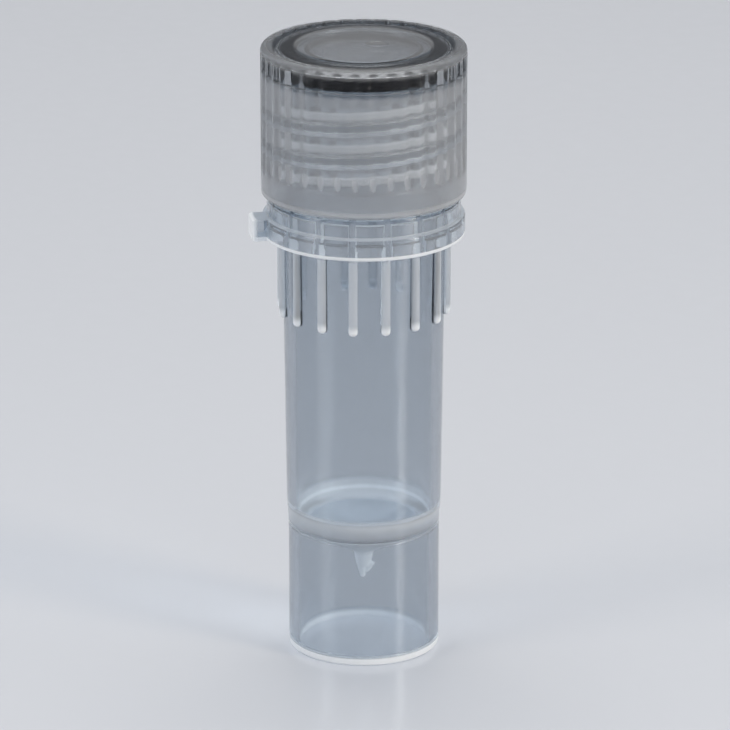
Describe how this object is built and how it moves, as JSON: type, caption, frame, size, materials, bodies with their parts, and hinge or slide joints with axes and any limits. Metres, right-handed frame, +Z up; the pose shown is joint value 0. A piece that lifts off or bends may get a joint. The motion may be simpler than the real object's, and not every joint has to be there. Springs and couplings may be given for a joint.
{
  "type": "cryovial",
  "caption": "Self-standing screw-cap cryovial: translucent tube with hollow foot, ribbed collar and threaded neck, knurled cap and O-ring.",
  "frame": {"origin": "centre of the foot ring, on the plane that the tube stands on", "axes": "+Z up the tube's axis towards the cap; -X points to the collar's lug"},
  "size_m": [0.0148, 0.014, 0.043],
  "materials": {
    "tube_plastic": "natural translucent polypropylene, smooth moulded gloss with a faint milky haze",
    "cap_plastic": "natural translucent polypropylene, smooth moulded gloss",
    "seal_rubber": "black elastomer, satin moulded skin"
  },
  "bodies": {
    "tube": {"tube": "tube_plastic"},
    "seal": {"o_ring": "seal_rubber"},
    "cap": {"cap": "cap_plastic"}
  },
  "joints": [
    {"name": "cap_lift", "type": "slide", "parent": "tube", "child": "seal", "axis": [0, 0, 1], "range_m": [0, 0.00675]},
    {"name": "cap_turn", "type": "hinge", "parent": "seal", "child": "cap", "pos_m": [0, 0, 0.038], "axis": [0, 0, 1], "range_deg": [0, 1080]}
  ],
  "couplings": [
    {"joint": "cap_turn", "follows": "cap_lift", "rad_per_m": 2792.5}
  ]
}
